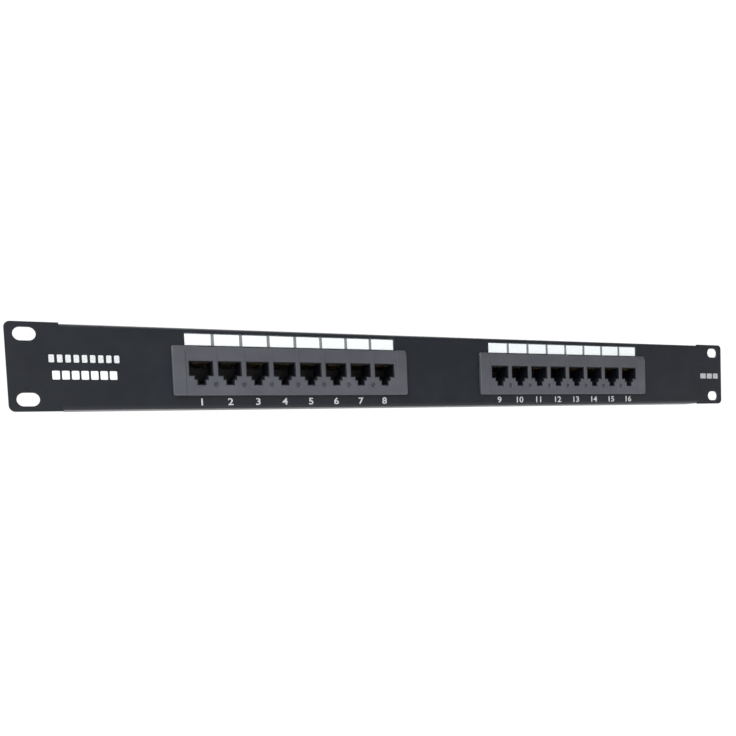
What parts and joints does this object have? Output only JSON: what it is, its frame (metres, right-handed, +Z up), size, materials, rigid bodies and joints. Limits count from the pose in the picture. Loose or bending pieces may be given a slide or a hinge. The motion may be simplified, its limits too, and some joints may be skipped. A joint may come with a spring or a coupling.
{
  "type": "network patch panel",
  "caption": "Rack-mounted network patch panel: folded steel front, two jack modules with sprung contacts, sliding label cards, circuit boards and punch-down blocks behind.",
  "frame": {"origin": "centre of the four rack slots, on the rear face of the rack ears", "axes": "+X along the panel towards the high port numbers, +Y into the rack, +Z up"},
  "size_m": [0.4826, 0.0309, 0.0434],
  "materials": {
    "panel_steel": "textured black powder coat",
    "bezel_plastic": "dark grey moulded plastic, fine spark texture",
    "housing_plastic": "black moulded plastic",
    "holder_clear": "clear extruded plastic",
    "card_white": "white card with grey dividing lines",
    "carrier_plastic": "black glass-filled plastic",
    "contact_gold": "gold-plated phosphor bronze",
    "board_laminate": "glass-fibre laminate with green solder mask",
    "screw_steel": "zinc-plated steel",
    "idc_plastic": "black moulded plastic",
    "clip_tin": "tin-plated phosphor bronze",
    "guide_plastic": "off-white plastic with printed wire-colour fields"
  },
  "bodies": {
    "panel_assembly": {"front_panel": "panel_steel", "bezel_left": "bezel_plastic", "jack_bodies_left": "housing_plastic", "label_holder_left": "holder_clear", "contact_carriers_left": "carrier_plastic", "contact_tails_left": "contact_gold", "circuit_board_left": "board_laminate", "board_screws_left": "screw_steel", "wiring_guide_left": "guide_plastic", "idc_clips_left": "clip_tin", "bezel_right": "bezel_plastic", "jack_bodies_right": "housing_plastic", "label_holder_right": "holder_clear", "contact_carriers_right": "carrier_plastic", "contact_tails_right": "contact_gold", "circuit_board_right": "board_laminate", "board_screws_right": "screw_steel", "wiring_guide_right": "guide_plastic", "idc_clips_right": "clip_tin", "idc_block_01": "idc_plastic", "idc_block_02": "idc_plastic", "idc_block_03": "idc_plastic", "idc_block_04": "idc_plastic", "idc_block_05": "idc_plastic", "idc_block_06": "idc_plastic", "idc_block_07": "idc_plastic", "idc_block_08": "idc_plastic", "idc_block_09": "idc_plastic", "idc_block_10": "idc_plastic", "idc_block_11": "idc_plastic", "idc_block_12": "idc_plastic", "idc_block_13": "idc_plastic", "idc_block_14": "idc_plastic", "idc_block_15": "idc_plastic", "idc_block_16": "idc_plastic"},
    "contacts_port_01": {"contacts_port_01": "contact_gold"},
    "contacts_port_02": {"contacts_port_02": "contact_gold"},
    "contacts_port_03": {"contacts_port_03": "contact_gold"},
    "contacts_port_04": {"contacts_port_04": "contact_gold"},
    "contacts_port_05": {"contacts_port_05": "contact_gold"},
    "contacts_port_06": {"contacts_port_06": "contact_gold"},
    "contacts_port_07": {"contacts_port_07": "contact_gold"},
    "contacts_port_08": {"contacts_port_08": "contact_gold"},
    "contacts_port_09": {"contacts_port_09": "contact_gold"},
    "contacts_port_10": {"contacts_port_10": "contact_gold"},
    "contacts_port_11": {"contacts_port_11": "contact_gold"},
    "contacts_port_12": {"contacts_port_12": "contact_gold"},
    "contacts_port_13": {"contacts_port_13": "contact_gold"},
    "contacts_port_14": {"contacts_port_14": "contact_gold"},
    "contacts_port_15": {"contacts_port_15": "contact_gold"},
    "contacts_port_16": {"contacts_port_16": "contact_gold"},
    "label_card_left": {"label_card_left": "card_white"},
    "label_card_right": {"label_card_right": "card_white"}
  },
  "joints": [
    {"name": "port_01_contacts_flex", "type": "hinge", "parent": "panel_assembly", "child": "contacts_port_01", "pos_m": [-0.1487, 0.0013, 0.00295], "axis": [1, 0, 0], "range_deg": [0, 10], "stiffness_Nm_per_rad": 0.4},
    {"name": "port_02_contacts_flex", "type": "hinge", "parent": "panel_assembly", "child": "contacts_port_02", "pos_m": [-0.1333, 0.0013, 0.00295], "axis": [1, 0, 0], "range_deg": [0, 10], "stiffness_Nm_per_rad": 0.4},
    {"name": "port_03_contacts_flex", "type": "hinge", "parent": "panel_assembly", "child": "contacts_port_03", "pos_m": [-0.1179, 0.0013, 0.00295], "axis": [1, 0, 0], "range_deg": [0, 10], "stiffness_Nm_per_rad": 0.4},
    {"name": "port_04_contacts_flex", "type": "hinge", "parent": "panel_assembly", "child": "contacts_port_04", "pos_m": [-0.1025, 0.0013, 0.00295], "axis": [1, 0, 0], "range_deg": [0, 10], "stiffness_Nm_per_rad": 0.4},
    {"name": "port_05_contacts_flex", "type": "hinge", "parent": "panel_assembly", "child": "contacts_port_05", "pos_m": [-0.0871, 0.0013, 0.00295], "axis": [1, 0, 0], "range_deg": [0, 10], "stiffness_Nm_per_rad": 0.4},
    {"name": "port_06_contacts_flex", "type": "hinge", "parent": "panel_assembly", "child": "contacts_port_06", "pos_m": [-0.0717, 0.0013, 0.00295], "axis": [1, 0, 0], "range_deg": [0, 10], "stiffness_Nm_per_rad": 0.4},
    {"name": "port_07_contacts_flex", "type": "hinge", "parent": "panel_assembly", "child": "contacts_port_07", "pos_m": [-0.0563, 0.0013, 0.00295], "axis": [1, 0, 0], "range_deg": [0, 10], "stiffness_Nm_per_rad": 0.4},
    {"name": "port_08_contacts_flex", "type": "hinge", "parent": "panel_assembly", "child": "contacts_port_08", "pos_m": [-0.0409, 0.0013, 0.00295], "axis": [1, 0, 0], "range_deg": [0, 10], "stiffness_Nm_per_rad": 0.4},
    {"name": "port_09_contacts_flex", "type": "hinge", "parent": "panel_assembly", "child": "contacts_port_09", "pos_m": [0.0409, 0.0013, 0.00295], "axis": [1, 0, 0], "range_deg": [0, 10], "stiffness_Nm_per_rad": 0.4},
    {"name": "port_10_contacts_flex", "type": "hinge", "parent": "panel_assembly", "child": "contacts_port_10", "pos_m": [0.0563, 0.0013, 0.00295], "axis": [1, 0, 0], "range_deg": [0, 10], "stiffness_Nm_per_rad": 0.4},
    {"name": "port_11_contacts_flex", "type": "hinge", "parent": "panel_assembly", "child": "contacts_port_11", "pos_m": [0.0717, 0.0013, 0.00295], "axis": [1, 0, 0], "range_deg": [0, 10], "stiffness_Nm_per_rad": 0.4},
    {"name": "port_12_contacts_flex", "type": "hinge", "parent": "panel_assembly", "child": "contacts_port_12", "pos_m": [0.0871, 0.0013, 0.00295], "axis": [1, 0, 0], "range_deg": [0, 10], "stiffness_Nm_per_rad": 0.4},
    {"name": "port_13_contacts_flex", "type": "hinge", "parent": "panel_assembly", "child": "contacts_port_13", "pos_m": [0.1025, 0.0013, 0.00295], "axis": [1, 0, 0], "range_deg": [0, 10], "stiffness_Nm_per_rad": 0.4},
    {"name": "port_14_contacts_flex", "type": "hinge", "parent": "panel_assembly", "child": "contacts_port_14", "pos_m": [0.1179, 0.0013, 0.00295], "axis": [1, 0, 0], "range_deg": [0, 10], "stiffness_Nm_per_rad": 0.4},
    {"name": "port_15_contacts_flex", "type": "hinge", "parent": "panel_assembly", "child": "contacts_port_15", "pos_m": [0.1333, 0.0013, 0.00295], "axis": [1, 0, 0], "range_deg": [0, 10], "stiffness_Nm_per_rad": 0.4},
    {"name": "port_16_contacts_flex", "type": "hinge", "parent": "panel_assembly", "child": "contacts_port_16", "pos_m": [0.1487, 0.0013, 0.00295], "axis": [1, 0, 0], "range_deg": [0, 10], "stiffness_Nm_per_rad": 0.4},
    {"name": "label_card_left_slide", "type": "slide", "parent": "panel_assembly", "child": "label_card_left", "axis": [-1, 0, 0], "range_m": [0, 0.122]},
    {"name": "label_card_right_slide", "type": "slide", "parent": "panel_assembly", "child": "label_card_right", "axis": [1, 0, 0], "range_m": [0, 0.122]}
  ]
}
